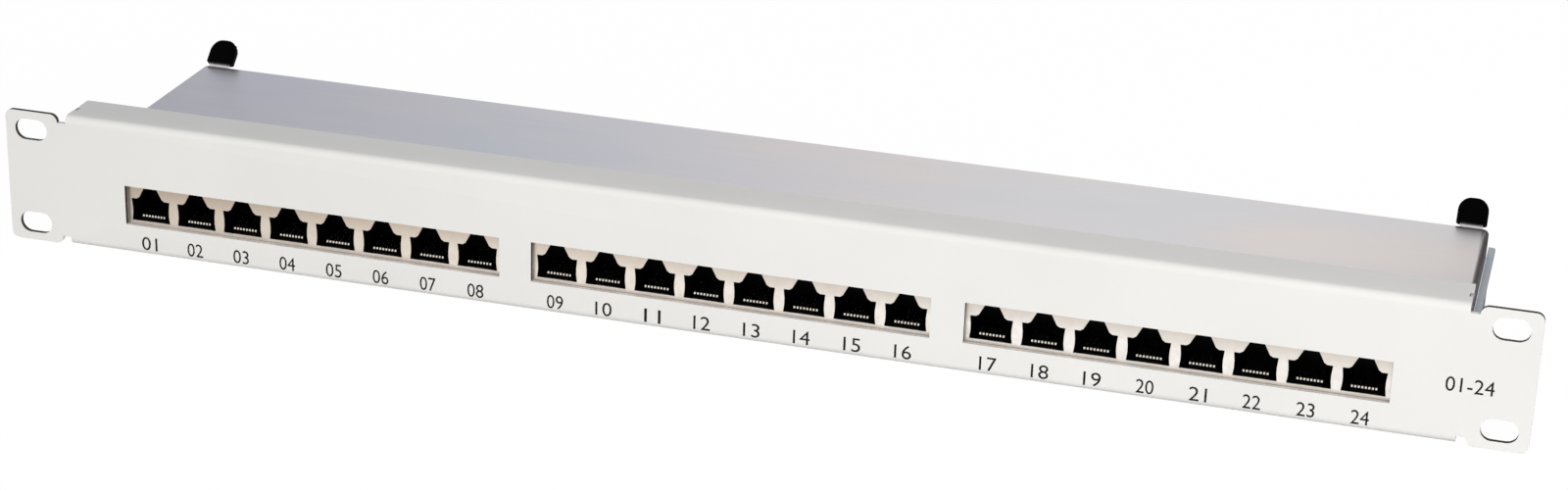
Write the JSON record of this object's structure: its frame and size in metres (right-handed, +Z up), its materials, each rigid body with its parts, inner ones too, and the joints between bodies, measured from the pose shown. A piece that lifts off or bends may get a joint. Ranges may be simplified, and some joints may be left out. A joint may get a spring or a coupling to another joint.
{
  "type": "patch panel",
  "caption": "One-unit rack patch panel: folded front panel with rows of shielded sockets, and a zinc-plated rear tray whose hinged lid covers the wire terminals.",
  "frame": {"origin": "middle of the underside, below the centre of the bounding box", "axes": "+X to the right seen from the front, +Y from the front panel towards the cable side, +Z up"},
  "size_m": [0.4826, 0.107, 0.044],
  "materials": {
    "powder_coat": "light grey powder coat, fine texture",
    "zinc_plate": "zinc-plated sheet steel, satin",
    "shield_metal": "tinned stamped sheet",
    "jack_plastic": "moulded black",
    "contact_metal": "gold-plated contact wire in a moulded carrier",
    "board": "green solder mask on glass-fibre board",
    "terminal_plastic": "moulded off-white",
    "vinyl": "dipped black vinyl",
    "bright_steel": "bright zinc-plated fasteners"
  },
  "bodies": {
    "housing": {"front_panel": "powder_coat", "rear_tray": "zinc_plate", "cable_comb": "zinc_plate", "jack_shield_1": "shield_metal", "jack_shield_2": "shield_metal", "jack_shield_3": "shield_metal", "jack_body_01": "jack_plastic", "jack_body_02": "jack_plastic", "jack_body_03": "jack_plastic", "jack_body_04": "jack_plastic", "jack_body_05": "jack_plastic", "jack_body_06": "jack_plastic", "jack_body_07": "jack_plastic", "jack_body_08": "jack_plastic", "jack_body_09": "jack_plastic", "jack_body_10": "jack_plastic", "jack_body_11": "jack_plastic", "jack_body_12": "jack_plastic", "jack_body_13": "jack_plastic", "jack_body_14": "jack_plastic", "jack_body_15": "jack_plastic", "jack_body_16": "jack_plastic", "jack_body_17": "jack_plastic", "jack_body_18": "jack_plastic", "jack_body_19": "jack_plastic", "jack_body_20": "jack_plastic", "jack_body_21": "jack_plastic", "jack_body_22": "jack_plastic", "jack_body_23": "jack_plastic", "jack_body_24": "jack_plastic", "contact_block_1": "contact_metal", "contact_block_2": "contact_metal", "contact_block_3": "contact_metal", "circuit_board_1": "board", "circuit_board_2": "board", "circuit_board_3": "board", "idc_strip_front_1": "terminal_plastic", "idc_strip_front_2": "terminal_plastic", "idc_strip_front_3": "terminal_plastic", "idc_strip_rear_1": "terminal_plastic", "idc_strip_rear_2": "terminal_plastic", "idc_strip_rear_3": "terminal_plastic", "left_hinge_pin": "bright_steel", "right_hinge_pin": "bright_steel", "board_screw_1": "bright_steel", "board_screw_2": "bright_steel", "board_screw_3": "bright_steel", "board_screw_4": "bright_steel", "board_screw_5": "bright_steel", "board_screw_6": "bright_steel", "comb_screw_left": "bright_steel", "comb_screw_right": "bright_steel", "flange_rivet_1": "bright_steel", "flange_rivet_2": "bright_steel", "flange_rivet_3": "bright_steel", "earth_stud": "bright_steel", "earth_nut": "bright_steel"},
    "lid_cover": {"lid": "zinc_plate", "left_tab_cap": "vinyl", "right_tab_cap": "vinyl"}
  },
  "joints": [
    {"name": "lid_hinge", "type": "hinge", "parent": "housing", "child": "lid_cover", "pos_m": [0, -0.02945, 0.0255], "axis": [1, 0, 0], "range_deg": [0, 95]}
  ]
}
